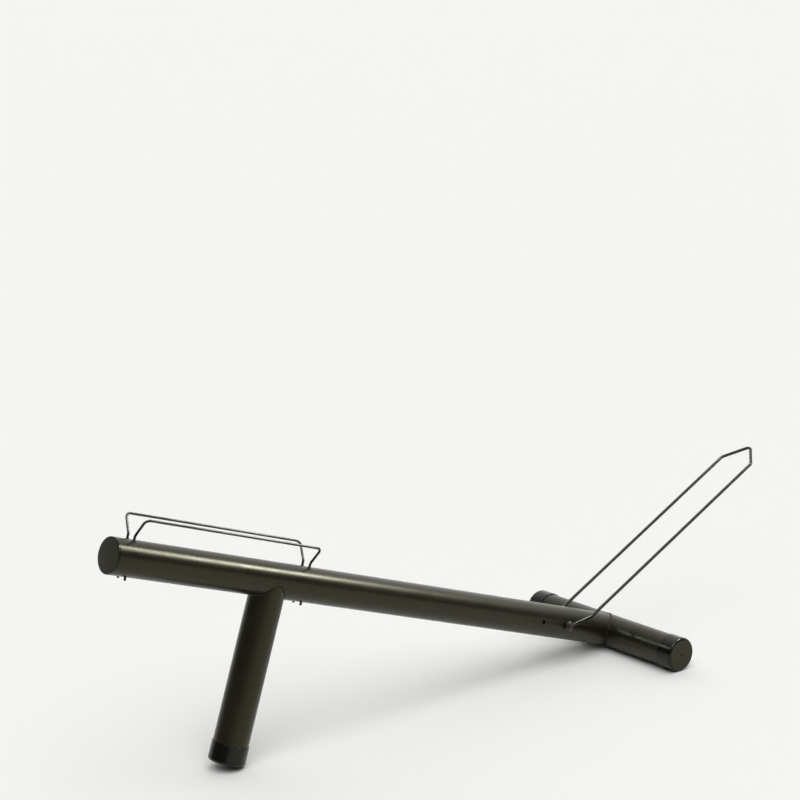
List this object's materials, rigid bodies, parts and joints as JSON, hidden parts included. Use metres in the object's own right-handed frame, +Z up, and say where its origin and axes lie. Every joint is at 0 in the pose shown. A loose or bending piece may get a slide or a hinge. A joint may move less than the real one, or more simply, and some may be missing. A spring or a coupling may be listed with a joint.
{
  "type": "bicycle display stand",
  "caption": "Free-standing floor stand for a bicycle: sloping tube on a drop leg and rear crossbar, wire cradle for the front wheel, pivoted wire hoop for the rear.",
  "frame": {"origin": "bottom centre of the bounding box, on the floor", "axes": "+Z up, the bicycle's front points to -X, +Y to the bicycle's right"},
  "size_m": [1.7572, 0.462, 0.5512],
  "materials": {
    "tube_paint": "satin black powder coat",
    "weld_paint": "satin black powder coat over weld bead",
    "cap_plastic": "semi-gloss moulded black polyethylene",
    "rod_paint": "gloss black enamel on steel rod",
    "fastener_steel": "dark zinc-plated steel"
  },
  "bodies": {
    "stand": {"backbone_tube": "tube_paint", "leg_tube": "tube_paint", "crossbar_tube": "tube_paint", "leg_weld": "weld_paint", "crossbar_weld": "weld_paint", "front_end_plug": "cap_plastic", "leg_foot_cap": "cap_plastic", "crossbar_cap_left": "cap_plastic", "crossbar_cap_right": "cap_plastic", "cradle_wire_left": "rod_paint", "cradle_wire_right": "rod_paint", "wire_weld_left_front": "weld_paint", "wire_weld_left_rear": "weld_paint", "wire_weld_right_front": "weld_paint", "wire_weld_right_rear": "weld_paint", "pivot_washer_inner_left": "fastener_steel", "pivot_washer_inner_right": "fastener_steel", "pivot_washer_outer_left": "fastener_steel", "pivot_washer_outer_right": "fastener_steel", "pivot_bolt": "fastener_steel", "pivot_nut": "fastener_steel"},
    "hoop": {"rear_hoop": "rod_paint"}
  },
  "joints": [
    {"name": "hoop_pivot", "type": "hinge", "parent": "stand", "child": "hoop", "pos_m": [0.2547, 0, 0.09281], "axis": [0, 1, 0], "range_deg": [-132.5, 20]}
  ]
}
